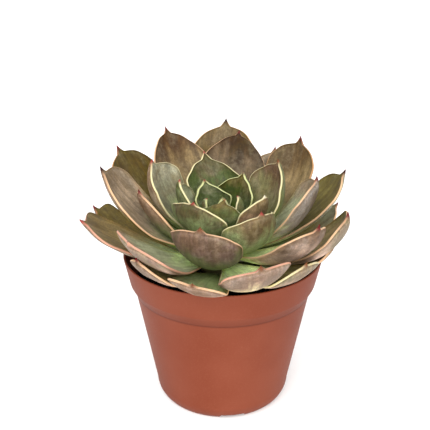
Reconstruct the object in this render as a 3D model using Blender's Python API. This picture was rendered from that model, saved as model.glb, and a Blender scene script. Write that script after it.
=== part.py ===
"""A potted echeveria: a rosette of fleshy, boat-shaped leaves on a short crown, in a round nursery pot.

Metres, +Z up. The origin is the middle of the pot's flat base, on the surface that it stands on, and -Y is
the front. Azimuths are in degrees from +X towards +Y. The tables below are in millimetres and degrees.
"""

import math
from collections import namedtuple

import bpy
import numpy as np

MM = 0.001

# Pot, a standard 10.5 cm nursery pot
RIM_HEIGHT = 81.8
RIM_RADIUS = 52.5
COLLAR_RADIUS = 49.3
COLLAR_HEIGHT = 67.2
BODY_TOP_RADIUS = 46.5
BODY_TOP_HEIGHT = 62.0
HEEL_RADIUS = 36.2
HEEL_FILLET = 8.8
HEEL_STEPS = 5
HEEL_START = 0.36
LIP_EASE = 0.3
WALL = 1.2
FLOOR_TOP = 3.9
POT_SIDES = 64

# Foot: a ring and a flat centre pad, with the floor between them raised
PAD_RADIUS = 9.0
FOOT_RISE = 2.5
FOOT_INNER_RADIUS = 28.5

# Channels through the foot ring, which show as notches, and the drain holes behind them
CHANNELS = 4
CHANNEL_AZIMUTH = 279.3
CHANNEL_WIDTH = 14.8
CHANNEL_ROOF_WIDTH = 12.3
CHANNEL_HEIGHT = 2.3
DRAIN_RADIUS = 4.0
DRAIN_AT = 20.5
DRAIN_SIDES = 16

# Soil, with a plain well that the plant's foot stands in
SOIL_TOP = 66.8
SOIL_GAP = 0.4
SOIL_LUMP = 0.35
SOIL_SIDES = 40
SOIL_RINGS = (0.94, 0.8, 0.62, 0.42, 0.2)
WELL_BOTTOM = 57.6
WELL_RADIUS = 12.7

# Crown, the short stem that all leaves grow from: height above the rim, radius
CROWN_PROFILE = ((-23.9, 12.2), (-16, 12.0), (-8, 11.2), (0, 9.8), (8, 7.2), (14, 4.8), (19, 2.4))
CROWN_SIDES = 20
CROWN_DOME = 1.0

# Leaf make-up
ROOT_GAP = 0.4
ROOT_SHARE = 0.27
EDGE_THICKNESS = 1.0
EDGE_END_SHARE = 0.4
EDGE_TAPER = 0.06
SWELL_END = 0.45
CURL_POWER = 1.4
ROLL_END = 0.5
CUP_END = 0.75
CUP_AT_ROOT = 0.35
CUP_AT_TIP = 0.65
LEAF_STATIONS = (0.0, 0.13, 0.26, 0.38, 0.5, 0.61, 0.72, 0.8, 0.86, 0.91, 0.94, 1.0)
LEAF_COLUMNS = (-1.0, -0.68, -0.34, 0.0, 0.34, 0.68, 1.0)

# Outlines: the share of the length where the leaf is widest, how full its shoulders are, how broad its point
# is, and the share of the length that the point takes
CUSP = (0.58, 1.4, 0.7, 0.3)
OVATE = (0.64, 1.8, 0.47, 0.16)
SPOON = (0.73, 2.4, 0.62, 0.16)
FULL = (0.79, 3.3, 0.62, 0.16)

# The point: how it narrows, the share of it beyond the shoulders, and the share over which it sets in
POINT_POWER = 1.4
POINT_BARE = 0.375
POINT_ONSET = 0.4375

Leaf = namedtuple("Leaf", "azimuth radius height width curl cup roll sway root sag outline")

# Leaves, youngest first: each lies over the older ones. Azimuth, radius and height of the tip, width, curl
# along the leaf, cupping across it, roll about its length, sideways sway of the tip, height of the root, sag
# at the root, outline. Heights are above the rim.
HEART_LEAVES = (
    (96, -1, 30, 6.5, 27, 44, 5, 0, 17.5, 0, CUSP),
    (183, 8, 30.5, 6.5, 51, 28, -8, 2, 16, 0, CUSP),
    (348, 7, 31.5, 8, 46, 31, -7, 0.5, 13, 0, CUSP),
)
LEAVES = (
    (256, 13, 34.5, 23.5, 86, 53, -7, 4.5, 14, 0, CUSP),
    (116, 13, 36.5, 24.5, 60, 73, -8, 4.5, 14, 0, CUSP),
    (326, 25.3, 37, 25, 42, 38, 0, -1, 10.5, 0, OVATE),
    (61, 17, 39.5, 29.5, 57, 44, -14, -2.5, 12, 0, CUSP),
    (186, 22, 42.5, 33, 58, 34, -2, 5, 12.5, 0, CUSP),
    (233, 33, 39.5, 37, 55, 28, -3, 7.5, 10.5, 0, OVATE),
    (98, 34, 45.5, 36, 37, 53, 7, 6, 9.5, 0, CUSP),
    (301, 42, 37.5, 37.5, 82, 65, 7, -4.5, 8, 0, OVATE),
    (17, 33.5, 44.5, 39.5, 58, 41, 5, 11, 6.5, 0, OVATE),
    (168, 38.5, 47, 40, 68, 45, -3, -4, 7.5, 0, SPOON),
    (212, 44, 40.5, 31, 54, 11, -6, -7.5, 6, 0, SPOON),
    (350, 47.5, 46.5, 38.5, 63, 36, 0, -5.5, 4, 0, SPOON),
    (259, 58, 37.5, 37.5, 78, 39, -8, 1, 3.5, 3, SPOON),
    (84, 56, 51, 36.5, 11, 9, 17, -3.5, 4.5, 0, OVATE),
    (310, 71, 38.5, 30.5, 61, 36, 2, -3.5, 1.5, 8, SPOON),
    (122, 63, 53.5, 36.5, 18, 36, 2, -0.5, 1, 0, OVATE),
    (5, 61, 46.5, 34.5, 50, 17, 0, -8, 1, 0, SPOON),
    (42, 67.5, 48.5, 36, 58, 40, 1, 9.5, -1.5, 0, SPOON),
    (198, 60.5, 49.5, 42, 40, 21, -16, -11, 2, 0, SPOON),
    (232, 72.5, 31, 36.5, 42, 16, -13, 2.5, 0, 3, FULL),
    (94, 60.5, 56.5, 37, 59, 29, -5, -6, -3, 0, SPOON),
    (338, 67, 35, 39.5, 80, 21, 3, -8, -1.5, 8, FULL),
    (160, 63, 50, 40, 25, 12, -5, -6, -3, 0, SPOON),
    (200, 74.5, 28.5, 38, 25, 11, -3, 1, -5, 3, FULL),
    (286, 78.5, 28, 34.5, 62, 24, 8, -5.5, -3, 12, FULL),
    (180, 68, 24, 36, 39, 0, -5, -4.5, -7.5, 0, FULL),
    (63, 68, 40, 34, 46, 14, 10, 0.5, -6, 0, OVATE),
    (310, 68.5, 20.5, 31.5, 56, 0, 4, -8, -6, 12, SPOON),
    (258, 75.5, 18, 28, 46, 14, -9, 2.5, -8, 19, FULL),
    (227, 67, 21, 31, 51, 0, -6, 8.5, -10, 14, OVATE),
    (20, 67, 19.5, 35, 42, 22, 1, 0, -9, 12, OVATE),
    (100, 66, 24, 35, 34, 22, 11, 0, -9, 8, OVATE),
    (139, 68.5, 21, 35, 41, 9, -3, 0, -12, 14, OVATE),
    (340, 60, 13.5, 24, 32, 2, 6, -4.5, -12.5, 16, SPOON),
    (60, 66, 21, 33, 46, 7, -2, 3.5, -11.8, 11, SPOON),
)

# Thickness by age: up to this rank, this thickness
THICKNESS_BY_RANK = ((3, 3.0), (8, 3.3), (14, 3.7), (22, 4.0), (31, 4.2))
OLDEST_THICKNESS = 3.5
HEART_SINK = 2.5

# Colours, and the first leaves of the middle and of the outer whorls
LEAF_COLORS = ((0.30, 0.36, 0.20), (0.32, 0.30, 0.18), (0.42, 0.30, 0.22))
FIRST_MIDDLE_LEAF = 10
FIRST_OUTER_LEAF = 22
HEART_COLOR = (0.28, 0.36, 0.20)
SOIL_COLOR = (0.02, 0.015, 0.012)
POT_COLOR = (0.39, 0.10, 0.06)
SHARP_ANGLE = 40


def crown_radius(height):
    heights = [point[0] for point in CROWN_PROFILE]
    radii = [point[1] for point in CROWN_PROFILE]
    return float(np.interp(height, heights, radii))


def leaf_thickness(rank):
    """Full thickness of the leaf of this rank: young leaves are thinner."""
    for last_rank, thickness in THICKNESS_BY_RANK:
        if rank < last_rank:
            return thickness
    return OLDEST_THICKNESS


def width_share(s, peak, fullness, breadth, reach):
    """Half width along the length as a share of the widest: narrow root, full shoulders, drawn-out point."""
    rise = ROOT_SHARE + (1 - ROOT_SHARE) * np.sin(np.clip(s / peak, 0, 1) * np.pi / 2) ** 1.5
    shoulder_end = 1 - POINT_BARE * reach
    past = np.clip((s - peak) / (shoulder_end - peak), 0, 1)
    shoulder = np.where(s < peak, rise, np.clip(1 - past**fullness, 0, 1) ** 0.7)
    point = breadth * np.clip((1 - s) / reach, 0, 1) ** POINT_POWER
    point = point * np.clip((s - 1 + reach) / (POINT_ONSET * reach), 0, 1)
    return np.where(s > peak, np.hypot(shoulder, point), shoulder)


def thickness_share(s):
    """Thickness along the length: it swells from the root and thins out towards the tip."""
    swell = 0.5 + 0.5 * np.sin(np.clip(s / SWELL_END, 0, 1) * np.pi / 2)
    taper = np.clip(1 - np.clip((s - SWELL_END) / (1.01 - SWELL_END), 0, 1) ** 2, 0, 1) ** 0.6
    return swell * taper


def slope_law(s, curl, sag):
    """Slope along the leaf before it is turned to end at its tip: it sags at the root, then curls up."""
    return np.radians(curl) * s ** (CURL_POWER + sag / 10) + np.radians(sag) * (1 - s) ** 2


def midrib(leaf):
    """Radius, height and slope along the leaf's upper midline, at 41 even stations from root to tip."""
    s = np.linspace(0, 1, 41)
    slope = slope_law((s[1:] + s[:-1]) / 2, leaf.curl, leaf.sag)
    along = np.concatenate([[0], np.cumsum(np.cos(slope))])
    rise = np.concatenate([[0], np.cumsum(np.sin(slope))])
    root_radius = crown_radius(leaf.root) + ROOT_GAP
    reach = leaf.radius - root_radius
    climb = leaf.height - leaf.root
    scale = math.hypot(reach, climb) / math.hypot(along[-1], rise[-1])
    turn = math.atan2(climb, reach) - math.atan2(rise[-1], along[-1])
    radius = root_radius + scale * (along * math.cos(turn) - rise * math.sin(turn))
    height = leaf.root + scale * (along * math.sin(turn) + rise * math.cos(turn))
    return s, radius, height, slope_law(s, leaf.curl, leaf.sag) + turn


def leaf_frame(leaf, stations):
    """Points on the upper midline, and the sideways and upward directions there."""
    s, radius, height, slope = midrib(leaf)
    radius = np.interp(stations, s, radius)
    height = np.interp(stations, s, height)
    slope = np.interp(stations, s, slope)[:, None]
    azimuth = math.radians(leaf.azimuth)
    outward = np.array([math.cos(azimuth), math.sin(azimuth), 0])
    around = np.array([-math.sin(azimuth), math.cos(azimuth), 0])
    upward = np.array([0, 0, 1])
    normal = -np.sin(slope) * outward + np.cos(slope) * upward
    middle = radius[:, None] * outward + (RIM_HEIGHT + height)[:, None] * upward
    middle = middle + (leaf.sway * stations**2)[:, None] * around
    roll = (math.radians(leaf.roll) * np.minimum(1, stations / ROLL_END))[:, None]
    sideways = around * np.cos(roll) + normal * np.sin(roll)
    over = normal * np.cos(roll) - around * np.sin(roll)
    return middle, sideways, over


def leaf_faces(leaf, thickness, stations, columns):
    """Upper and lower points of the leaf, one row of columns to each station."""
    middle, sideways, over = leaf_frame(leaf, stations)
    ease = CUP_AT_ROOT + (1 - CUP_AT_ROOT) * np.sin(np.minimum(1, stations / CUP_END) * np.pi / 2)
    past = np.maximum(0, stations - CUP_END) / (1 - CUP_END)
    half_arc = np.maximum(math.radians(leaf.cup) * ease * (1 - (1 - CUP_AT_TIP) * past), 0.001)
    half_width = np.maximum(leaf.width / 2 * width_share(stations, *leaf.outline), 0.001)
    bend = (half_width / half_arc)[:, None]
    angle = half_arc[:, None] * columns[None, :]
    across = (bend * np.sin(angle))[:, :, None]
    lift = (bend * (1 - np.cos(angle)))[:, :, None]
    upper = middle[:, None, :] + sideways[:, None, :] * across + over[:, None, :] * lift
    facing = over[:, None, :] * np.cos(angle)[:, :, None] - sideways[:, None, :] * np.sin(angle)[:, :, None]
    edge = EDGE_THICKNESS * np.clip((1 - stations) / EDGE_TAPER, EDGE_END_SHARE, 1)
    full = np.maximum(thickness * thickness_share(stations), edge)
    bulge = np.clip(1 - columns**2, 0, 1) ** 0.75
    depth = edge[:, None] + (full - edge)[:, None] * bulge[None, :]
    return upper, upper - facing * depth[:, :, None]


def leaf_mesh(leaf, thickness, sunk=0.0):
    """Points and triangles of the leaf as one closed body. Sunk moves its root ring back towards the axis."""
    upper, lower = leaf_faces(leaf, thickness, np.array(LEAF_STATIONS), np.array(LEAF_COLUMNS))
    if sunk:
        azimuth = math.radians(leaf.azimuth)
        back = np.array([math.cos(azimuth), math.sin(azimuth), 0]) * sunk
        upper[0] = upper[0] - back
        lower[0] = lower[0] - back
    rows = len(LEAF_STATIONS) - 1
    ring = 2 * len(LEAF_COLUMNS)
    points = [np.concatenate([upper[i], lower[i][::-1]]) for i in range(rows)]
    centre = len(LEAF_COLUMNS) // 2
    points.append((upper[-1][centre : centre + 1] + lower[-1][centre : centre + 1]) / 2)
    points.append(((upper[0].mean(axis=0) + lower[0].mean(axis=0)) / 2)[None, :])
    tip = rows * ring
    root = tip + 1
    faces = []
    for row in range(rows - 1):
        for j in range(ring):
            a = row * ring + j
            b = row * ring + (j + 1) % ring
            faces.append((a, a + ring, b + ring))
            faces.append((a, b + ring, b))
    last = (rows - 1) * ring
    for j in range(ring):
        k = (j + 1) % ring
        faces.append((last + k, last + j, tip))
        faces.append((j, k, root))
    return np.concatenate(points), faces


def turned_mesh(profile, sides, ripple=None):
    """Points and triangles of a profile turned about Z.

    The profile starts and ends on the axis and goes up the outside. Ripple adds heights to the rings' points.
    """
    turn = np.arange(sides) * 2 * math.pi / sides
    points = [np.array([[0, 0, profile[0][1]]])]
    for index, (radius, height) in enumerate(profile[1:-1]):
        lift = ripple[index] if ripple is not None else 0
        ring = np.stack([radius * np.cos(turn), radius * np.sin(turn), height + lift + 0 * turn], axis=1)
        points.append(ring)
    points.append(np.array([[0, 0, profile[-1][1]]]))
    rings = len(profile) - 2
    end = 1 + rings * sides
    faces = []
    for j in range(sides):
        k = (j + 1) % sides
        faces.append((0, 1 + k, 1 + j))
        faces.append((end, end - sides + j, end - sides + k))
        for ring in range(rings - 1):
            a = 1 + ring * sides + j
            b = 1 + ring * sides + k
            faces.append((a, b, b + sides))
            faces.append((a, b + sides, a + sides))
    return np.concatenate(points), faces


def new_object(name, points, faces, color=None, roughness=0.5):
    """A mesh object from points in millimetres, with its own plain material."""
    mesh = bpy.data.meshes.new(name)
    mesh.from_pydata([tuple(point) for point in points * MM], [], faces)
    mesh.update()
    obj = bpy.data.objects.new(name, mesh)
    bpy.context.scene.collection.objects.link(obj)
    if color is not None:
        material = bpy.data.materials.new(name + "_surface")
        material.use_nodes = True
        shader = material.node_tree.nodes["Principled BSDF"]
        shader.inputs["Base Color"].default_value = (*color, 1)
        shader.inputs["Roughness"].default_value = roughness
        mesh.materials.append(material)
    return obj


def combine(target, others, operation):
    """Joins the others to the target or cuts them from it, and removes them."""
    for other in others:
        other.hide_render = True
        other.display_type = "WIRE"
        modifier = target.modifiers.new(operation.lower(), "BOOLEAN")
        modifier.operation = operation
        modifier.solver = "EXACT"
        modifier.object = other
        bpy.context.view_layer.objects.active = target
        bpy.ops.object.modifier_apply(modifier=modifier.name)
        bpy.data.objects.remove(other)


def pot_outside():
    """The pot's outside from the foot up to the rim: rounded heel, straight wall, chamfer, flared collar."""
    profile = []
    for step in range(HEEL_STEPS + 1):
        angle = math.pi / 2 * (HEEL_START + (1 - HEEL_START) * step / HEEL_STEPS)
        radius = HEEL_RADIUS - HEEL_FILLET * (1 - math.sin(angle))
        profile.append((radius, HEEL_FILLET * (1 - math.cos(angle))))
    base = profile[0][1]
    profile = [(radius, (height - base) * HEEL_FILLET / (HEEL_FILLET - base)) for radius, height in profile]
    profile.append((BODY_TOP_RADIUS, BODY_TOP_HEIGHT))
    profile.append((COLLAR_RADIUS, COLLAR_HEIGHT))
    profile.append((RIM_RADIUS, RIM_HEIGHT - LIP_EASE))
    profile.append((RIM_RADIUS - LIP_EASE, RIM_HEIGHT))
    return profile


def pot_inside(offset):
    """The inside of the wall from the rim down to the floor, moved inwards by the offset."""
    inset = WALL + offset
    floor = FLOOR_TOP + offset
    return [
        (RIM_RADIUS - inset, RIM_HEIGHT),
        (COLLAR_RADIUS - inset, COLLAR_HEIGHT + 0.6),
        (BODY_TOP_RADIUS - inset, BODY_TOP_HEIGHT + 0.6),
        (HEEL_RADIUS - inset, HEEL_FILLET + 1),
        (HEEL_RADIUS - inset - 2.2, floor),
    ]


def make_pot():
    """Turned shell on a foot ring and a centre pad, then the channels and the drain holes are cut."""
    outside = pot_outside()
    foot = [(0, 0), (PAD_RADIUS, 0), (PAD_RADIUS + 0.8, FOOT_RISE), (FOOT_INNER_RADIUS - 0.8, FOOT_RISE)]
    foot.append((FOOT_INNER_RADIUS, 0))
    inside = pot_inside(0)
    points, faces = turned_mesh(foot + outside + inside + [(0, FLOOR_TOP)], POT_SIDES)
    pot = new_object("pot", points, faces, POT_COLOR, 0.55)
    cutters = []
    for index in range(CHANNELS):
        azimuth = math.radians(CHANNEL_AZIMUTH + 360 / CHANNELS * index)
        cutters.append(channel_cutter(azimuth))
        cutters.append(drain_cutter(azimuth))
    combine(pot, cutters, "DIFFERENCE")


def channel_cutter(azimuth):
    """A radial bar under the base, a little narrower at the top, that notches the foot ring."""
    start = FOOT_INNER_RADIUS - 3
    end = HEEL_RADIUS + 6
    corners = []
    for along in (start, end):
        for across, height in (
            (-CHANNEL_WIDTH / 2, -2),
            (CHANNEL_WIDTH / 2, -2),
            (CHANNEL_ROOF_WIDTH / 2, CHANNEL_HEIGHT),
            (-CHANNEL_ROOF_WIDTH / 2, CHANNEL_HEIGHT),
        ):
            x = along * math.cos(azimuth) - across * math.sin(azimuth)
            y = along * math.sin(azimuth) + across * math.cos(azimuth)
            corners.append((x, y, height))
    faces = [(0, 3, 2, 1), (4, 5, 6, 7), (0, 1, 5, 4), (1, 2, 6, 5), (2, 3, 7, 6), (3, 0, 4, 7)]
    return new_object("channel", np.array(corners), faces)


def drain_cutter(azimuth):
    """An upright round pin through the floor."""
    low = FOOT_RISE - 2
    high = FLOOR_TOP + 2
    profile = [(0, low), (DRAIN_RADIUS, low), (DRAIN_RADIUS, high), (0, high)]
    points, faces = turned_mesh(profile, DRAIN_SIDES)
    shift = np.array([math.cos(azimuth), math.sin(azimuth), 0]) * DRAIN_AT
    return new_object("drain", points + shift, faces)


def make_soil():
    """A plug that fills the pot up to a lumpy surface, with a plain well for the plant's foot."""
    wall = pot_inside(SOIL_GAP)
    wall_heights = [height for radius, height in reversed(wall)]
    wall_radii = [radius for radius, height in reversed(wall)]
    profile = [(0, wall_heights[0])]
    profile += list(zip(wall_radii[:3], wall_heights[:3]))
    edge = float(np.interp(SOIL_TOP - 0.8, wall_heights, wall_radii))
    profile.append((edge, SOIL_TOP - 0.8))
    first_lumpy = len(profile) - 1
    for share in SOIL_RINGS:
        profile.append((WELL_RADIUS + (edge - WELL_RADIUS) * share, SOIL_TOP))
    last_lumpy = len(profile) - 1
    profile.append((WELL_RADIUS, SOIL_TOP - 0.2))
    profile.append((WELL_RADIUS, WELL_BOTTOM))
    profile.append((0, WELL_BOTTOM))
    lumps = np.random.default_rng(11)
    ripple = []
    for index in range(len(profile) - 2):
        lumpy = first_lumpy <= index < last_lumpy
        ripple.append(lumps.uniform(-SOIL_LUMP, SOIL_LUMP, SOIL_SIDES) if lumpy else 0)
    points, faces = turned_mesh(profile, SOIL_SIDES, ripple)
    new_object("soil", points, faces, SOIL_COLOR, 0.95)


def make_heart():
    """The crown with the innermost leaves grown together on it."""
    profile = [(0, CROWN_PROFILE[0][0])]
    profile += [(radius, height) for height, radius in CROWN_PROFILE]
    profile.append((0, CROWN_PROFILE[-1][0] + CROWN_DOME))
    profile = [(radius, height + RIM_HEIGHT) for radius, height in profile]
    points, faces = turned_mesh(profile, CROWN_SIDES)
    heart = new_object("heart", points, faces, HEART_COLOR, 0.5)
    buds = []
    for rank, row in enumerate(HEART_LEAVES):
        points, faces = leaf_mesh(Leaf(*row), leaf_thickness(rank), HEART_SINK)
        buds.append(new_object("bud", points, faces))
    combine(heart, buds, "UNION")


def make_leaves():
    """Every free leaf is a node of its own, numbered from the youngest to the oldest."""
    for index, row in enumerate(LEAVES):
        rank = len(HEART_LEAVES) + index
        points, faces = leaf_mesh(Leaf(*row), leaf_thickness(rank))
        color = LEAF_COLORS[0] if index < FIRST_MIDDLE_LEAF else LEAF_COLORS[1]
        if index >= FIRST_OUTER_LEAF:
            color = LEAF_COLORS[2]
        new_object(f"leaf_{index + 1:02d}", points, faces, color, 0.5)


def shade_all():
    """Everything here is round: smooth shading, with an edge only at the pot's rim, chamfer and foot."""
    for obj in bpy.data.objects:
        obj.data.shade_smooth()
        obj.data.set_sharp_from_angle(angle=math.radians(SHARP_ANGLE))


def main():
    for obj in list(bpy.data.objects):
        bpy.data.objects.remove(obj)
    make_pot()
    make_soil()
    make_heart()
    make_leaves()
    shade_all()


main()
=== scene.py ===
"""Looks of the potted echeveria: fine leaves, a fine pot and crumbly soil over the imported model.

Sizes are in millimetres and angles in degrees unless a comment says otherwise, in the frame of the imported
model: +Z up, the origin in the middle of the pot's base, and -Y towards the camera. Azimuths go from +X
towards +Y.
"""

import math
from collections import namedtuple
from itertools import combinations

import bpy
import numpy as np
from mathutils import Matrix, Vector


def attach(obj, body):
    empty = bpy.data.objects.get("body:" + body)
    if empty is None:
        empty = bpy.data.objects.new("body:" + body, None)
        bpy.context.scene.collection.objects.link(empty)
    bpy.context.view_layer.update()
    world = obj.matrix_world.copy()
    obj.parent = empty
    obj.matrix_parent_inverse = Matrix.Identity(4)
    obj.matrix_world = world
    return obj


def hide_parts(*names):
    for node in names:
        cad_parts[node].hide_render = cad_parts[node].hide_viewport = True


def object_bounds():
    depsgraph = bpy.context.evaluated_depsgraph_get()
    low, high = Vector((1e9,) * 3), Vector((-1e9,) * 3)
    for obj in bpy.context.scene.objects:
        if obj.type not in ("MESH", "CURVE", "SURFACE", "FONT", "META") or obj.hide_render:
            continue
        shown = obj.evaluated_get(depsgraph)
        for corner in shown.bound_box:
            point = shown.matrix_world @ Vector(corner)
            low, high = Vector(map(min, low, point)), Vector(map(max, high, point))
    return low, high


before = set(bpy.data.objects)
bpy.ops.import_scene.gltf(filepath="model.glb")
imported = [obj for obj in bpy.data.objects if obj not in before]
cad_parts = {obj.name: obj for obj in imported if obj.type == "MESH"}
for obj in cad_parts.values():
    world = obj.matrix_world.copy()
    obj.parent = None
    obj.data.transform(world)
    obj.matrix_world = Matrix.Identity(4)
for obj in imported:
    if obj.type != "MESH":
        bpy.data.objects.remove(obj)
cad_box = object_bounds()

MM = 0.001

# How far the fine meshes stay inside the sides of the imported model's box
BOX_EASE = 0.02

# Lamps like the sun: name, the way that their light goes, strength, spread. The key stands high at the
# front left and the fill in front.
LAMPS = (
    ("key", (0.45, 0.7, -1.0), 1.1, 30),
    ("fill", (-0.08, 0.9, -0.45), 3.2, 50),
)
SURROUND_STRENGTH = 1.0

# Floor
FLOOR_HALF = 40000
FLOOR_ROUGHNESS = 0.9

# Camera: where it stands from the middle of the rim, and where the rim's middle falls in the picture
IMAGE_SIZE = 430
FOCAL_PIXELS = 800
SENSOR_WIDTH = 36
CLIP_START = 10
CAMERA_DISTANCE = 424.0
CAMERA_ELEVATION = 24.1
RIM_PIXEL = (223.5, 250.8)

# Pot
RIM_HEIGHT = 81.8
RIM_RADIUS = 52.5
COLLAR_RADIUS = 49.3
COLLAR_HEIGHT = 67.2
BODY_TOP_RADIUS = 46.5
BODY_TOP_HEIGHT = 62.0
HEEL_RADIUS = 36.2
HEEL_FILLET = 8.8
HEEL_START = 0.36
HEEL_STEPS = 10
CREASE_ROUND = 0.5
CREASE_STEPS = 4
WALL = 1.2
POT_SIDES = 192
SHARP_ANGLE = 50

# Inside of the pot: how much higher its bends lie than those outside, and the bevel between wall and floor
INNER_RISE = 0.6
FLOOR_TOP = 3.9
FLOOR_BEVEL_RISE = 1.0
FLOOR_BEVEL_RUN = 2.2

# Foot: a ring and a centre pad with sloping sides, and the raised floor between them
PAD_RADIUS = 9.0
FOOT_RISE = 2.5
FOOT_INNER_RADIUS = 28.5
FOOT_DRAFT = 0.8

# Channels through the foot ring, with the drain holes behind them, and how far their cuts run past the pot
CHANNELS = 4
CHANNEL_AZIMUTH = 279.3
CHANNEL_WIDTH = 14.8
CHANNEL_ROOF_WIDTH = 12.3
CHANNEL_HEIGHT = 2.3
CHANNEL_PAST_INSIDE = 3
CHANNEL_PAST_OUTSIDE = 6
DRAIN_RADIUS = 4.0
DRAIN_AT = 20.5
DRAIN_SIDES = 32
CUT_PAST = 2

# Soil: a plug with a lumpy surface, whose middle level lies SOIL_DIP below SOIL_TOP
SOIL_TOP = 66.8
SOIL_DIP = 0.9
SOIL_EDGE = 46.6
SOIL_FOOT_EDGE = 44.6
SOIL_DEPTH = 3.8
SOIL_FIRST_RING = 0.8
SOIL_STEP = 0.9
SOIL_SIDES = 150
SOIL_RELIEF = 0.6

# Waves of the soil's surface: height, and for each of the two that cross its pull along X and Y, and shift
SOIL_WAVES = (
    (0.5, (0.9, 0, 1.3), (0, 0.8, 0.4)),
    (0.4, (1.9, -0.7, 0), (0.9, 1.6, math.pi / 2)),
    (0.25, (3.7, 2.1, 0), (-1.2, 3.3, 0)),
)

# Crumbs on the soil. A pair is the least and the most that a random draw gives.
CRUMBS = 900
CRUMB_SEED = 5
CRUMB_DIP = 0.75
CRUMB_EDGE = 45.0
CRUMB_SPREAD = (0.05, 1)
CRUMB_SIZE = (0.35, 1.25)
CRUMB_UNEVEN = (0.7, 1.25)
CRUMB_STRETCH = (0.7, 1.2)

# Crown: height above the rim, radius
CROWN_PROFILE = ((-23.9, 12.2), (-16, 12.0), (-8, 11.2), (0, 9.8), (8, 7.2), (14, 4.8), (19, 2.4))
CROWN_SIDES = 48
CROWN_RINGS = 60
CROWN_DOME = 1.0
CROWN_INSET = 0.3
CROWN_LEAST_RADIUS = 0.5
SCAR_DEPTH = 0.25
SCAR_PULL = 2.2
SCAR_TURNS = (3, 5)

# Leaf make-up. A place along a leaf is a share of its length. A sag of SAG_PER_POWER adds one to the power
# of the leaf's curl.
MIDRIB_STATIONS = 41
ROOT_GAP = 0.4
ROOT_SHARE = 0.27
ROOT_POWER = 1.5
SHOULDER_POWER = 0.7
EDGE_THICKNESS = 0.75
EDGE_END_SHARE = 0.4
EDGE_TAPER = 0.06
EDGE_SHARE = 0.98
LEAST_HALF_WIDTH = 0.02
SWELL_START = 0.5
SWELL_END = 0.45
THINNING_END = 1.01
THINNING_POWER = 0.6
CURL_POWER = 1.4
SAG_PER_POWER = 10
ROLL_END = 0.5
CUP_END = 0.75
CUP_AT_ROOT = 0.35
CUP_AT_TIP = 0.65

# The least bend of half a leaf's width, in radians
LEAST_HALF_ARC = 0.001

# Fine relief of a leaf. A fade is the place where it is full, the place where it is gone, and the stretch
# before that over which it goes.
RELIEF_FADE = (0.3, 0.985, 0.06)
WAVE_FADE = (0.5, 0.97, 0.1)
BEAD = 0.22
BEAD_REACH = 0.8
KEEL = 0.5
KEEL_REACH = 2.6
KEEL_START = 0.6
KEEL_RISE = 0.3
BULGE_POWER = 0.8
SWELLS = 0.22
UNDER_SWELLS = 0.154
MARGIN_WAVE = 0.014
EDGE_WAVE = 0.35

# Soft waves: how fast they come along and across the leaf, and how many are added up, each with a pull drawn
# from WAVE_PULL
UPPER_WAVES = (2.2, 1.6, 5)
UNDER_WAVES = (2.0, 1.8, 5)
MARGIN_WAVES = (3.2, 2.4, 4)
EDGE_WAVES = (3.4, 2.0, 4)
WAVE_PULL = (2, 9)

# Mesh of a leaf: columns on each face, crowded towards the margin, steps round the edge, and the stretches
# of its length with their rings. The cap at its root counts as ROOT_CAP_INWARD from the margin.
FACE_COLUMNS = 25
FACE_CROWDING = 0.97
EDGE_STEPS = 6
SHOULDER_START = 0.78
TIP_START = 0.92
BLADE_RINGS = 40
SHOULDER_RINGS = 22
TIP_RINGS = 24
ROOT_CAP_INWARD = 5

# Outlines: the share of the length where the leaf is widest, how full its shoulders are, how broad its point
# is, and the share of the length that the point takes
CUSP = (0.58, 1.4, 0.7, 0.3)
OVATE = (0.64, 1.8, 0.47, 0.16)
SPOON = (0.73, 2.4, 0.62, 0.16)
FULL = (0.79, 3.3, 0.62, 0.16)

# The point: how it narrows, the share of it beyond the shoulders, and the share over which it sets in
POINT_POWER = 1.4
POINT_BARE = 0.375
POINT_ONSET = 0.4375

Leaf = namedtuple("Leaf", "azimuth radius height width curl cup roll sway root sag outline")

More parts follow.
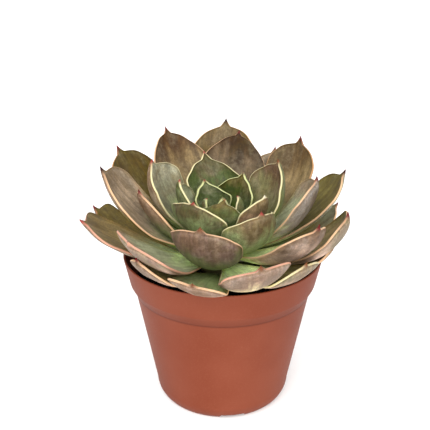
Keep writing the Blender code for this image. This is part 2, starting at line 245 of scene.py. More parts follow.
# Leaves, youngest first. Azimuth, radius and height of the tip, width, curl along the leaf, cupping across
# it, roll about its length, sideways sway of the tip, height of the root, sag at the root, outline. Heights
# are above the rim.
HEART_LEAVES = (
    (96, -1, 30, 6.5, 27, 44, 5, 0, 17.5, 0, CUSP),
    (183, 8, 30.5, 6.5, 51, 28, -8, 2, 16, 0, CUSP),
    (348, 7, 31.5, 8, 46, 31, -7, 0.5, 13, 0, CUSP),
)
LEAVES = (
    (256, 13, 34.5, 23.5, 86, 53, -7, 4.5, 14, 0, CUSP),
    (116, 13, 36.5, 24.5, 60, 73, -8, 4.5, 14, 0, CUSP),
    (326, 25.3, 37, 25, 42, 38, 0, -1, 10.5, 0, OVATE),
    (61, 17, 39.5, 29.5, 57, 44, -14, -2.5, 12, 0, CUSP),
    (186, 22, 42.5, 33, 58, 34, -2, 5, 12.5, 0, CUSP),
    (233, 33, 39.5, 37, 55, 28, -3, 7.5, 10.5, 0, OVATE),
    (98, 34, 45.5, 36, 37, 53, 7, 6, 9.5, 0, CUSP),
    (301, 42, 37.5, 37.5, 82, 65, 7, -4.5, 8, 0, OVATE),
    (17, 33.5, 44.5, 39.5, 58, 41, 5, 11, 6.5, 0, OVATE),
    (168, 38.5, 47, 40, 68, 45, -3, -4, 7.5, 0, SPOON),
    (212, 44, 40.5, 31, 54, 11, -6, -7.5, 6, 0, SPOON),
    (350, 47.5, 46.5, 38.5, 63, 36, 0, -5.5, 4, 0, SPOON),
    (259, 58, 37.5, 37.5, 78, 39, -8, 1, 3.5, 3, SPOON),
    (84, 56, 51, 36.5, 11, 9, 17, -3.5, 4.5, 0, OVATE),
    (310, 71, 38.5, 30.5, 61, 36, 2, -3.5, 1.5, 8, SPOON),
    (122, 63, 53.5, 36.5, 18, 36, 2, -0.5, 1, 0, OVATE),
    (5, 61, 46.5, 34.5, 50, 17, 0, -8, 1, 0, SPOON),
    (42, 67.5, 48.5, 36, 58, 40, 1, 9.5, -1.5, 0, SPOON),
    (198, 60.5, 49.5, 42, 40, 21, -16, -11, 2, 0, SPOON),
    (232, 72.5, 31, 36.5, 42, 16, -13, 2.5, 0, 3, FULL),
    (94, 60.5, 56.5, 37, 59, 29, -5, -6, -3, 0, SPOON),
    (338, 67, 35, 39.5, 80, 21, 3, -8, -1.5, 8, FULL),
    (160, 63, 50, 40, 25, 12, -5, -6, -3, 0, SPOON),
    (200, 74.5, 28.5, 38, 25, 11, -3, 1, -5, 3, FULL),
    (286, 78.5, 28, 34.5, 62, 24, 8, -5.5, -3, 12, FULL),
    (180, 68, 24, 36, 39, 0, -5, -4.5, -7.5, 0, FULL),
    (63, 68, 40, 34, 46, 14, 10, 0.5, -6, 0, OVATE),
    (310, 68.5, 20.5, 31.5, 56, 0, 4, -8, -6, 12, SPOON),
    (258, 75.5, 18, 28, 46, 14, -9, 2.5, -8, 19, FULL),
    (227, 67, 21, 31, 51, 0, -6, 8.5, -10, 14, OVATE),
    (20, 67, 19.5, 35, 42, 22, 1, 0, -9, 12, OVATE),
    (100, 66, 24, 35, 34, 22, 11, 0, -9, 8, OVATE),
    (139, 68.5, 21, 35, 41, 9, -3, 0, -12, 14, OVATE),
    (340, 60, 13.5, 24, 32, 2, 6, -4.5, -12.5, 16, SPOON),
    (60, 66, 21, 33, 46, 7, -2, 3.5, -11.8, 11, SPOON),
)

# Thickness by age: up to this rank, counted from the youngest bud, this thickness
THICKNESS_BY_RANK = ((3, 3.0), (8, 3.3), (14, 3.7), (22, 4.0), (31, 4.2))
OLDEST_THICKNESS = 3.5

# Seed of the first bud. A leaf's seed is its number.
FIRST_BUD_SEED = 40

# Leaf colours as they are seen, as 8-bit display values
NIGHT_GREEN = (54, 64, 34)
DARK_GREEN = (70, 80, 46)
LEAF_GREEN = (86, 98, 62)
MOSS = (102, 110, 72)
SAGE = (116, 124, 86)
PALE_SAGE = (130, 142, 98)
SILVER_SAGE = (150, 152, 122)
FRESH_GREEN = (118, 144, 76)
SPRING_GREEN = (156, 172, 124)
DARK_OLIVE = (80, 66, 30)
OLIVE = (104, 90, 46)
PALE_OLIVE = (118, 108, 62)
WARM_GREY = (98, 84, 66)
MOSS_BROWN = (100, 96, 66)
GREY_SAGE = (120, 118, 96)
OCHRE = (124, 106, 54)
YELLOW_OLIVE = (144, 126, 52)
LIGHT_OLIVE = (168, 154, 98)
SOFT_SAGE = (138, 150, 104)
PEACH_TAN = (154, 132, 84)
DARK_UMBER = (66, 46, 22)
UMBER = (86, 60, 34)
BROWN = (108, 86, 56)
RUST = (124, 78, 52)
TAN = (132, 114, 82)
ROSE_TAN = (148, 122, 98)
DUSK = (124, 100, 82)
MAUVE = (160, 134, 118)
FAWN = (154, 136, 114)
LILAC = (158, 148, 138)
LILAC_PINK = (162, 132, 130)
PINK_BEIGE = (182, 154, 136)
BEIGE = (176, 158, 132)
PALE_GREY = (186, 184, 160)
CREAM = (226, 214, 166)
LIME_CREAM = (206, 208, 150)
PEACH = (220, 178, 140)
SALMON = (206, 152, 128)
TOFFEE = (184, 140, 98)
ROSE = (152, 68, 62)
MAROON = (104, 36, 38)
BLACK_RED = (52, 22, 22)
IVORY = (226, 212, 182)

# Colours of a leaf's two sides at the root, in the middle and at the end, of its margin, blotches and tip
Look = namedtuple(
    "Look", "upper_root upper_middle upper_end under_root under_middle under_end margin blotch tip"
)

# Looks, in the order of the leaves
HEART_LOOKS = (
    (DARK_GREEN, LEAF_GREEN, MOSS, DARK_GREEN, LEAF_GREEN, MOSS, LIME_CREAM, DUSK, ROSE),
    (DARK_GREEN, LEAF_GREEN, MOSS, DARK_GREEN, LEAF_GREEN, MOSS, LIME_CREAM, DUSK, ROSE),
    (DARK_GREEN, LEAF_GREEN, MOSS, DARK_GREEN, LEAF_GREEN, MOSS, CREAM, DUSK, ROSE),
)
LEAF_LOOKS = (
    (DARK_GREEN, LEAF_GREEN, MOSS, LEAF_GREEN, LEAF_GREEN, PALE_OLIVE, CREAM, BROWN, ROSE),
    (NIGHT_GREEN, DARK_GREEN, SAGE, LEAF_GREEN, LEAF_GREEN, SAGE, LIME_CREAM, SILVER_SAGE, ROSE),
    (LEAF_GREEN, SAGE, SAGE, LEAF_GREEN, ROSE_TAN, TAN, CREAM, ROSE_TAN, IVORY),
    (NIGHT_GREEN, NIGHT_GREEN, PALE_OLIVE, LEAF_GREEN, LEAF_GREEN, MOSS, LIME_CREAM, DARK_OLIVE, DUSK),
    (MOSS, SILVER_SAGE, SILVER_SAGE, LEAF_GREEN, SAGE, MOSS, CREAM, SAGE, ROSE),
    (LEAF_GREEN, MOSS, DUSK, MOSS, SOFT_SAGE, MOSS_BROWN, CREAM, DUSK, ROSE),
    (DARK_GREEN, DARK_GREEN, MOSS_BROWN, LEAF_GREEN, LEAF_GREEN, MOSS, CREAM, BROWN, ROSE),
    (LEAF_GREEN, MOSS, DUSK, SPRING_GREEN, SOFT_SAGE, TAN, CREAM, DUSK, ROSE),
    (DARK_GREEN, MOSS_BROWN, DUSK, MOSS, SAGE, PALE_SAGE, CREAM, BROWN, RUST),
    (SAGE, GREY_SAGE, PALE_GREY, PALE_SAGE, BEIGE, ROSE_TAN, CREAM, TAN, ROSE),
    (LEAF_GREEN, MOSS, BROWN, FRESH_GREEN, SAGE, ROSE_TAN, PEACH, MAUVE, MAROON),
    (SILVER_SAGE, SILVER_SAGE, BEIGE, SPRING_GREEN, LILAC, LILAC, PEACH, MAUVE, MAROON),
    (LEAF_GREEN, MOSS, DUSK, FRESH_GREEN, MOSS, DUSK, PEACH, LILAC_PINK, RUST),
    (MOSS, WARM_GREY, DARK_UMBER, MOSS, BROWN, BROWN, PEACH, DARK_OLIVE, MAROON),
    (SPRING_GREEN, SILVER_SAGE, DUSK, SPRING_GREEN, PINK_BEIGE, DUSK, PEACH, LILAC, MAROON),
    (SAGE, TAN, UMBER, MOSS, BROWN, BROWN, PEACH, BROWN, MAROON),
    (SPRING_GREEN, PALE_OLIVE, PALE_OLIVE, SPRING_GREEN, PALE_GREY, PALE_GREY, PEACH, OLIVE, BLACK_RED),
    (MOSS, TAN, BROWN, MOSS, BROWN, BROWN, TOFFEE, OLIVE, MAROON),
    (SAGE, FAWN, FAWN, FRESH_GREEN, PALE_OLIVE, MAUVE, PEACH, TAN, BLACK_RED),
    (PALE_SAGE, SILVER_SAGE, PINK_BEIGE, SAGE, PINK_BEIGE, MAUVE, SALMON, SILVER_SAGE, SALMON),
    (MOSS, OLIVE, TAN, MOSS, BROWN, BROWN, PEACH, BROWN, BLACK_RED),
    (SPRING_GREEN, TAN, PALE_OLIVE, PALE_GREY, PINK_BEIGE, FAWN, PEACH, MOSS, MAROON),
    (BROWN, OLIVE, OLIVE, MOSS, BROWN, BROWN, TOFFEE, UMBER, MAROON),
    (SPRING_GREEN, PEACH_TAN, PEACH_TAN, MOSS, ROSE_TAN, MAUVE, SALMON, OLIVE, ROSE),
    (SPRING_GREEN, SILVER_SAGE, SILVER_SAGE, PALE_GREY, CREAM, MAUVE, SALMON, LILAC, RUST),
    (OLIVE, OCHRE, YELLOW_OLIVE, MOSS, BROWN, BROWN, TOFFEE, OCHRE, MAROON),
    (MOSS, ROSE_TAN, BEIGE, MOSS, BROWN, DUSK, PEACH, BROWN, MAROON),
    (SPRING_GREEN, LIGHT_OLIVE, OLIVE, SILVER_SAGE, PINK_BEIGE, FAWN, CREAM, SAGE, RUST),
    (MOSS, PALE_SAGE, PALE_OLIVE, SILVER_SAGE, PINK_BEIGE, MAUVE, PEACH, ROSE_TAN, RUST),
    (PALE_OLIVE, LIGHT_OLIVE, TAN, DUSK, PINK_BEIGE, MAUVE, PEACH, BROWN, MAROON),
    (LEAF_GREEN, PALE_OLIVE, SILVER_SAGE, MOSS, BEIGE, PINK_BEIGE, PEACH, DUSK, MAROON),
    (MOSS, PALE_OLIVE, TAN, MOSS, ROSE_TAN, PINK_BEIGE, PEACH, DUSK, MAROON),
    (MOSS, PALE_OLIVE, TAN, MOSS, ROSE_TAN, PINK_BEIGE, PEACH, DUSK, MAROON),
    (MOSS, PALE_OLIVE, TAN, SAGE, BEIGE, BEIGE, PEACH, ROSE_TAN, RUST),
    (FRESH_GREEN, PALE_OLIVE, TAN, SAGE, ROSE_TAN, MAUVE, PEACH, DUSK, MAROON),
)

# Other colours, as 8-bit display values
POT_COLOR = (167, 87, 62)
POT_LIGHT = (180, 104, 82)
POT_DARK = (158, 78, 53)
# Painted shade of the pot, laid on its chamfer under the collar and in the crease below it
POT_PAINTED_SHADE = (112, 54, 40)
SOIL_COLOR = (26, 21, 18)
SOIL_LIGHT = (62, 48, 36)
STEM_COLOR = (96, 98, 56)
STEM_DARK = (74, 58, 40)
FLOOR_COLOR = (246, 246, 245)

# What the studio's light does: the surface's own share of its seen colour on the pot, on the leaves' ends,
# half way down and deep between them, and on their margins, and the shine on top of it
POT_SHARE = 0.46
END_SHARE = 0.72
MIDDLE_SHARE = 1.1
DEEP_SHARE = 2.3
MARGIN_SHARE = 0.8
SHINE_LIGHT = 0.011
BRIGHTEST = 0.85

# Light passing through the flesh of the leaves: how much, how far as red, green and blue, and the scale
FLESH_GLOW = 0.22
FLESH_REACH = (1.0, 0.9, 0.5)
FLESH_SCALE = 3.0

# Noises: scale, detail, roughness, distortion. The scale is cells to a metre. Streaks, patches and clouds
# are stretched instead: for a millimetre across the leaf, for its length, and from leaf to leaf. The scuffs
# are stretched along Z.
STREAK_NOISE = (1.0, 4.0, 0.6, 0.5)
STREAK_STRETCH = (0.5, 3.0, 7.3)
PATCH_NOISE = (1.0, 4.0, 0.6, 0.9)
PATCH_STRETCH = (0.11, 4.4, 3.1)
CLOUD_NOISE = (1.4, 3.0, 0.55, 0.6)
CLOUD_STRETCH = (0.07, 2.2, 5.7)
MOTTLE_NOISE = (420.0, 4.0, 0.62, 0.3)
GRAIN_NOISE = (1500.0, 2.0, 0.6)
FLECK_NOISE = (900.0, 2.0)
POT_FINE_NOISE = (1300.0, 4.0, 0.65)
POT_BROAD_NOISE = (24.0, 2.0, 0.5)
SCUFF_NOISE = (900.0, 3.0, 0.6)
SCUFF_STRETCH = (1, 1, 0.12)
SOIL_GRAIN_NOISE = (700.0, 5.0, 0.7)
SOIL_FLECK_NOISE = (260.0, 2.0, 0.5)
STEM_NOISE = (400.0, 4.0, 0.6)

# Markings as smooth steps: where they begin and end, and their values there if not 0 and 1. They run along
# the leaf (PLACE), in from its margin (INWARD), up the pot or the stem (HEIGHT), or over the values of a
# noise. DRIFT is how far a leaf's zones wander along it, a SHARE is the most that a marking covers, and a
# TINT is what it multiplies the colour by.
MIDDLE_PLACE = (0.22, 0.55)
END_PLACE = (0.6, 0.86)
UNDERSIDE = (0.35, 0.65)
DRIFT = 0.6
BLOTCHES = (0.42, 0.7)
BLOTCH_PLACE = (0.3, 0.7)
BLOTCH_SHARE = 0.5
# Painted shade towards each leaf's end, in patches and away from its margin, which darkens and browns it
END_SHADE_PATCHES = (0.3, 0.62, 0.3, 0.65)
END_SHADE_INWARD = (1.0, 8.0)
END_SHADE_TINT = (0.6, 0.5, 0.36, 1)
FLECK_COLOR = UMBER
FLECKS = (0.55, 0.66)
FLECK_PLACE = (0.45, 0.85, 0.0, 0.24)
BLOOM_COLOR = PALE_GREY
BLOOM = (0.42, 0.66)
BLOOM_MOTTLE = (0.36, 0.66, 0.04, 0.13)
STREAK_SHADE = (0.34, 0.66, 0.84, 1.18)
MOTTLE_SHADE = (0.36, 0.64, 0.86, 1.14)
GRAIN_SHADE = (0.35, 0.65, 0.9, 1.1)
# A dark hem just inside the pale margin: partly the leaf's own darker rim, partly painted shade beside the
# margin
HEM_AND_SHADE_INWARD = (0.3, 0.6)
HEM_AND_SHADE_END_INWARD = (0.8, 2.6, 0.75, 0.0)
HEM_AND_SHADE_TINT = (0.66, 0.57, 0.42, 1)
MARGIN_INWARD = (0.17, 0.42, 1.0, 0.0)
MARGIN_PLACE = (0.02, 0.3, 0.15, 0.94)
MARGIN_TO_TIP_PLACE = (0.91, 0.965, 0.0, 0.55)
TIP_PLACE = (0.95, 0.982)
SPIKE_PLACE = (0.982, 0.998, 0.0, 0.6)
POT_BROAD = (0.35, 0.65)
POT_MOTTLE = (0.46, 0.74, 0.0, 0.4)
SCUFFS = (0.58, 0.8, 0.0, 0.35)
# Painted shade on the chamfer under the collar, which faces down, and darker painted shade in the crease
# below it
CHAMFER_SHADE_HEIGHT = (BODY_TOP_HEIGHT - 0.6, BODY_TOP_HEIGHT + 0.4)
CHAMFER_SHADE_END_HEIGHT = (BODY_TOP_HEIGHT + 1, COLLAR_HEIGHT + 0.8, 1.0, 0.0)
CHAMFER_SHADE_SHARE = 0.22
CREASE_SHADE_HEIGHT = (BODY_TOP_HEIGHT - 1.2, BODY_TOP_HEIGHT + 0.1)
CREASE_SHADE_END_HEIGHT = (BODY_TOP_HEIGHT, BODY_TOP_HEIGHT + 0.9, 1.0, 0.0)
CREASE_SHADE_SHARE = 0.6
SOIL_FLECKS = (0.56, 0.72, 0.0, 0.7)
CORK_HEIGHT = (68, 78, 1.0, 0.0)
CORK_PATCHES = (0.4, 0.7, 0.0, 0.6)

# Roughness over a noise, as smooth steps
LEAF_ROUGHNESS = (0.3, 0.7, 0.52, 0.66)
POT_ROUGHNESS = (0.3, 0.7, 0.5, 0.62)
SOIL_ROUGHNESS = (0.3, 0.7, 0.8, 0.95)
STEM_ROUGHNESS = (0.3, 0.7, 0.6, 0.8)

# Shine, as the shader's specular level
LEAF_SHINE = 0.18
POT_SHINE = 0.16
SOIL_SHINE = 0.25
STEM_SHINE = 0.5
FLOOR_SHINE = 0.0

# Bumps from a noise: strength, depth
MOTTLE_BUMPS = (0.12, 0.4)
GRAIN_BUMPS = (0.12, 0.2)
POT_BUMPS = (0.25, 0.2)
SOIL_BUMPS = (0.9, 1.2)
STEM_BUMPS = (0.5, 0.5)

# Sockets of the mix node that take and give colours
MIX_FIRST = 6
MIX_SECOND = 7
MIX_RESULT = 2

Fields = namedtuple("Fields", "along drift inward under streak patch cloud mottle grain fleck")


def linear(color):
    """An 8-bit display colour as linear light by the sRGB curve, with alpha."""
    shares = [value / 255 for value in color]
    return (*[s / 12.92 if s <= 0.04045 else ((s + 0.055) / 1.055) ** 2.4 for s in shares], 1)


def surface(color, share=1.0):
    """The colour of a surface that is seen as this colour in the studio's light."""
    return (*[min(max(value - SHINE_LIGHT, 0) * share, BRIGHTEST) for value in linear(color)[:3]], 1)


def turns(steps):
    """Angles of this many even steps round a circle, in radians."""
    return np.arange(steps) * 2 * math.pi / steps


def rising(s, end):
    """Rises softly from 0 at the root to 1 at this place along the leaf."""
    return np.sin(np.clip(s / end, 0, 1) * np.pi / 2)


def growing(s, start, stretch):
    """Grows evenly from 0 at this place along the leaf to 1 after this stretch."""
    return np.clip((s - start) / stretch, 0, 1)


def faded(s, full, gone, stretch):
    """Rises softly from the root until it is full, and is gone again before the tip."""
    return rising(s, full) * np.clip((gone - s) / stretch, 0, 1)


def crown_radius(height):
    """The crown's radius at this height above the rim."""
    heights, radii = zip(*CROWN_PROFILE)
    return np.interp(height, heights, radii)


def leaf_thickness(rank):
    """Full thickness of the leaf of this rank: young leaves are thinner."""
    for last_rank, thickness in THICKNESS_BY_RANK:
        if rank < last_rank:
            return thickness
    return OLDEST_THICKNESS


def width_share(s, peak, fullness, breadth, reach):
    """Half width along the length as a share of the widest: narrow root, full shoulders, drawn-out point."""
    rise = ROOT_SHARE + (1 - ROOT_SHARE) * rising(s, peak) ** ROOT_POWER
    past = growing(s, peak, 1 - POINT_BARE * reach - peak)
    shoulder = np.where(s < peak, rise, np.clip(1 - past**fullness, 0, 1) ** SHOULDER_POWER)
    point = breadth * np.clip((1 - s) / reach, 0, 1) ** POINT_POWER
    point = point * growing(s, 1 - reach, POINT_ONSET * reach)
    return np.where(s > peak, np.hypot(shoulder, point), shoulder)


def thickness_share(s):
    """Thickness along the length: it swells from the root and thins out towards the tip."""
    swell = SWELL_START + (1 - SWELL_START) * rising(s, SWELL_END)
    past = growing(s, SWELL_END, THINNING_END - SWELL_END)
    return swell * np.clip(1 - past**2, 0, 1) ** THINNING_POWER


def slope_law(s, curl, sag):
    """Slope along the leaf before it is turned to end at its tip: it sags at the root, then curls up."""
    power = CURL_POWER + sag / SAG_PER_POWER
    return np.radians(curl) * s**power + np.radians(sag) * (1 - s) ** 2


def midrib(leaf):
    """Radius, height and slope along the leaf's upper midline, at even stations from root to tip."""
    s = np.linspace(0, 1, MIDRIB_STATIONS)
    slope = slope_law((s[1:] + s[:-1]) / 2, leaf.curl, leaf.sag)
    along = np.concatenate([[0], np.cumsum(np.cos(slope))])
    rise = np.concatenate([[0], np.cumsum(np.sin(slope))])
    root_radius = crown_radius(leaf.root) + ROOT_GAP
    reach = leaf.radius - root_radius
    climb = leaf.height - leaf.root
    scale = math.hypot(reach, climb) / math.hypot(along[-1], rise[-1])
    turn = math.atan2(climb, reach) - math.atan2(rise[-1], along[-1])
    radius = root_radius + scale * (along * math.cos(turn) - rise * math.sin(turn))
    height = leaf.root + scale * (along * math.sin(turn) + rise * math.cos(turn))
    return s, radius, height, slope_law(s, leaf.curl, leaf.sag) + turn


def leaf_frame(leaf, stations):
    """Points on the upper midline, and the sideways and upward directions there."""
    s, *lines = midrib(leaf)
    radius, height, slope = (np.interp(stations, s, line)[:, None] for line in lines)
    azimuth = math.radians(leaf.azimuth)
    outward = np.array([math.cos(azimuth), math.sin(azimuth), 0])
    around = np.array([-math.sin(azimuth), math.cos(azimuth), 0])
    upward = np.array([0, 0, 1])
    normal = -np.sin(slope) * outward + np.cos(slope) * upward
    middle = radius * outward + (RIM_HEIGHT + height) * upward
    middle = middle + (leaf.sway * stations**2)[:, None] * around
    roll = (math.radians(leaf.roll) * np.minimum(1, stations / ROLL_END))[:, None]
    sideways = around * np.cos(roll) + normal * np.sin(roll)
    over = normal * np.cos(roll) - around * np.sin(roll)
    return middle, sideways, over


def soft_wave(rng, s, u, along_pull, across_pull, count):
    """A smooth random height over the leaf, about -1 to 1, from a few long waves."""
    total = np.zeros(np.broadcast(s, u).shape)
    for _ in range(count):
        pull = rng.uniform(*WAVE_PULL, 2)
        phase = rng.uniform(0, 2 * np.pi, 2)
        along = np.sin(pull[0] * along_pull * s + phase[0])
        total = total + along * np.sin(pull[1] * across_pull * u / 2 + phase[1])
    return total / count


def leaf_stations():
    """Shares of the length for the leaf's rings, closer together in its shoulders and its tip."""
    blade = np.linspace(0, SHOULDER_START, BLADE_RINGS, endpoint=False)
    shoulder = np.linspace(SHOULDER_START, TIP_START, SHOULDER_RINGS, endpoint=False)
    return np.concatenate([blade, shoulder, np.linspace(TIP_START, 1, TIP_RINGS)])


def leaf_section(half_width, edge_radius, thickness, s, rng):
    """Cross-sections of the leaf, one row to a station: distance across from the midline, height over the
    upper face, distance in from the margin, and share of underside."""
    s = s[:, None]
    inner = np.maximum(half_width - edge_radius, 0.0)[:, None]
    radius = edge_radius[:, None]
    crowding = np.pi / 2 * FACE_CROWDING
    face = np.sin(np.linspace(-1, 1, FACE_COLUMNS)[None, :] * crowding) / np.sin(crowding)
    fade = faded(s, *RELIEF_FADE)
    relief = fade * (1 - face**4)
    bead = BEAD * np.exp(-(((1 - np.abs(face)) * inner / BEAD_REACH) ** 2)) * fade
    upper = bead + SWELLS * soft_wave(rng, s, face, *UPPER_WAVES) * relief
    keel = KEEL * np.exp(-np.abs(face) * inner / KEEL_REACH) * growing(s, KEEL_START, KEEL_RISE) * fade
    bulge = np.clip(1 - face**2, 0, 1) ** BULGE_POWER
    belly = 2 * radius + np.maximum(thickness[:, None] - 2 * radius, 0) * bulge + keel
    lower = -belly - UNDER_SWELLS * soft_wave(rng, s, face, *UNDER_WAVES) * relief
    angle = np.linspace(np.pi / 2, -np.pi / 2, EDGE_STEPS + 2)[None, 1:-1]
    edge = inner + radius * np.cos(angle)
    drop = radius * (np.sin(angle) - 1) + bead[:, -1:] * (1 + np.sin(angle)) / 2
    across = np.concatenate([inner * face, edge, (inner * face)[:, ::-1], -edge[:, ::-1]], axis=1)
    height = np.concatenate([upper, drop, lower[:, ::-1], drop[:, ::-1]], axis=1)
    flat = np.zeros((len(s), FACE_COLUMNS))
    side = np.repeat((1 - np.sin(angle)) / 2, len(s), axis=0)
    under = np.concatenate([flat, side, flat + 1, side[:, ::-1]], axis=1)
    inward = np.maximum(half_width[:, None] - np.abs(across), 0)
    return across, height, inward, under


def cupped(leaf, s, half_width, across, height):
    """Points in space of the cross-sections, set along the midrib and bent into the leaf's cup."""
    middle, sideways, over = (part[:, None, :] for part in leaf_frame(leaf, s))
    ease = CUP_AT_ROOT + (1 - CUP_AT_ROOT) * rising(s, CUP_END)
    past = growing(s, CUP_END, 1 - CUP_END)
    half_arc = np.maximum(math.radians(leaf.cup) * ease * (1 - (1 - CUP_AT_TIP) * past), LEAST_HALF_ARC)
    bend = (half_width / half_arc)[:, None, None]
    angle = across[:, :, None] / bend
    facing = over * np.cos(angle) - sideways * np.sin(angle)
    points = middle + sideways * bend * np.sin(angle) + over * bend * (1 - np.cos(angle))
    return points + facing * height[:, :, None]


def leaf_rings(leaf, thickness, seed):
    """Rings of the fine leaf, with what its material needs to know at each point."""
    rng = np.random.default_rng(seed)
    s = leaf_stations()
    half_width = np.maximum(leaf.width / 2 * width_share(s, *leaf.outline), LEAST_HALF_WIDTH)
    edge = EDGE_THICKNESS * np.clip((1 - s) / EDGE_TAPER, EDGE_END_SHARE, 1)
    edge_radius = np.minimum(edge / 2, half_width * EDGE_SHARE)
    full = np.maximum(thickness * thickness_share(s), 2 * edge_radius)
    across, height, inward, under = leaf_section(half_width, edge_radius, full, s, rng)
    share = across / half_width[:, None]
    fade = faded(s, *WAVE_FADE)[:, None]
    waves = soft_wave(rng, s[:, None], np.sign(share), *MARGIN_WAVES)
    across = across * (1 + MARGIN_WAVE * waves * fade * np.abs(share))
    waves = soft_wave(rng, s[:, None], share, *EDGE_WAVES)
    height = height + EDGE_WAVE * waves * fade * np.abs(share) ** 3
    return cupped(leaf, s, half_width, across, height), s, across, inward, under


def tube_faces(rows, ring, flipped=False):
    """Faces of a closed tube: quads between its rings, and fans round the two points that follow the rings,
    first the one at the start. They face outwards where the rings turn anticlockwise seen from beyond the
    start, or clockwise if flipped."""
    row = np.arange(rows - 1)[:, None] * ring
    j = np.arange(ring)[None, :]
    k = (j + 1) % ring
    faces = np.stack([row + j, row + ring + j, row + ring + k, row + k], axis=-1).reshape(-1, 4).tolist()
    start = rows * ring
    last = start - ring
    for j in range(ring):
        k = (j + 1) % ring
        faces.append((j, k, start))
        faces.append((last + k, last + j, start + 1))
    if flipped:
        faces = [[face[0], *reversed(face[1:])] for face in faces]
    return faces


def placed(name, data):
    """An object of the scene that holds this mesh, light or camera."""
    item = bpy.data.objects.new(name, data)
    bpy.context.scene.collection.objects.link(item)
    return item


def new_object(name, points, faces):
    """An object of the scene with a mesh of its own, from points in metres."""
    mesh = bpy.data.meshes.new(name)
    mesh.from_pydata(points.tolist(), [], faces)
    mesh.update()
    return placed(name, mesh)


def new_piece(name, points, faces, material, nodes):
    """A smooth-shaded mesh from points in millimetres that rides on the body and stands for CAD nodes."""
    low, high = (np.array(corner) for corner in cad_box)
    ease = np.array([BOX_EASE, BOX_EASE, 0]) * MM
    piece = new_object(name, np.clip(points * MM, low + ease, high - ease), faces)
    piece.data.shade_smooth()
    piece.data.materials.append(material)
    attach(piece, "root")
    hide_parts(*nodes)
    return piece


def make_leaf(name, leaf, thickness, seed, look, node):
    """One fleshy leaf as a closed tube of rings, with what its material needs kept on its points."""
    points, s, across, inward, under = leaf_rings(leaf, thickness, seed)
    rows, ring = across.shape
    ends = [points[0].mean(axis=0), points[-1].mean(axis=0)]
    points = np.concatenate([points.reshape(-1, 3), ends])
    piece = new_piece(name, points, tube_faces(rows, ring), leaf_material(name, look, seed), (node,))
    for key, values, at_ends in (
        ("along", np.repeat(s, ring), (0, 1)),
        ("across", across, (0, 0)),
        ("inward", inward, (ROOT_CAP_INWARD, 0)),
        ("under", under, (0.5, 0.5)),
    ):
        layer = piece.data.attributes.new(key, "FLOAT", "POINT")
        layer.data.foreach_set("value", np.append(values, at_ends).astype(np.float32))


class Nodes:
    """Short hand for building a material's node tree."""

    def __init__(self, name):
        self.material = bpy.data.materials.new(name)
        self.material.use_nodes = True
        self.tree = self.material.node_tree
        self.shader = self.tree.nodes["Principled BSDF"]

    def add(self, kind, **settings):
        node = self.tree.nodes.new(kind)
        for key, value in settings.items():
            setattr(node, key, value)
        return node

    def link(self, source, target):
        self.tree.links.new(source, target)

    def put(self, socket, value):
        """Sets a socket to a number or a colour, or links it to another socket."""
        if isinstance(value, bpy.types.NodeSocket):
            self.link(value, socket)
        else:
            socket.default_value = value

    def object_point(self):
        return self.add("ShaderNodeTexCoord").outputs["Object"]

    def attribute(self, name):
        return self.add("ShaderNodeAttribute", attribute_name=name).outputs["Fac"]

    def math(self, operation, a, b):
        node = self.add("ShaderNodeMath", operation=operation)
        self.put(node.inputs[0], a)
        self.put(node.inputs[1], b)
        return node.outputs[0]

    def product(self, first, *others):
        """The values multiplied with each other."""
        for other in others:
            first = self.math("MULTIPLY", first, other)
        return first

    def level(self, point):
        """Height above the pot's base in millimetres."""
        height = self.add("ShaderNodeSeparateXYZ")
        self.link(point, height.inputs[0])
        return self.product(height.outputs["Z"], 1 / MM)

    def ramp(self, value, low, high, start=0.0, end=1.0):
        """Smooth step of the value from low to high, between start and end."""
        node = self.add("ShaderNodeMapRange", interpolation_type="SMOOTHSTEP")
        self.put(node.inputs["Value"], value)
        for key, item in (("From Min", low), ("From Max", high), ("To Min", start), ("To Max", end)):
            self.put(node.inputs[key], item)
        return node.outputs["Result"]

    def mix(self, share, a, b, blend="MIX"):
        node = self.add("ShaderNodeMix", data_type="RGBA", blend_type=blend)
        self.put(node.inputs["Factor"], share)
        self.put(node.inputs[MIX_FIRST], a)
        self.put(node.inputs[MIX_SECOND], b)
        return node.outputs[MIX_RESULT]

    def vector(self, x, y, z):
        node = self.add("ShaderNodeCombineXYZ")
        for socket, value in zip(node.inputs, (x, y, z)):
            self.put(socket, value)
        return node.outputs[0]

    def noise(self, vector, scale, detail, roughness=0.5, distortion=0.0):
        node = self.add("ShaderNodeTexNoise")
        values = (vector, scale, detail, roughness, distortion)
        for key, value in zip(("Vector", "Scale", "Detail", "Roughness", "Distortion"), values):
            self.put(node.inputs[key], value)
        return node.outputs["Fac"]

    def bump(self, height, strength, depth, below=None):
        """Bumps of this depth in millimetres, laid over other bumps if these are given."""
        node = self.add("ShaderNodeBump")
        node.inputs["Strength"].default_value = strength
        node.inputs["Distance"].default_value = depth * MM
        self.link(height, node.inputs["Height"])
        if below is not None:
            self.link(below, node.inputs["Normal"])
        return node.outputs["Normal"]

    def coat(self, color, roughness, normal, shine):
        """Links colour, roughness and bumps to the shader, and hands over the material."""
        for key, source in (("Base Color", color), ("Roughness", roughness), ("Normal", normal)):
            self.link(source, self.shader.inputs[key])
        self.shader.inputs["Specular IOR Level"].default_value = shine
        return self.material


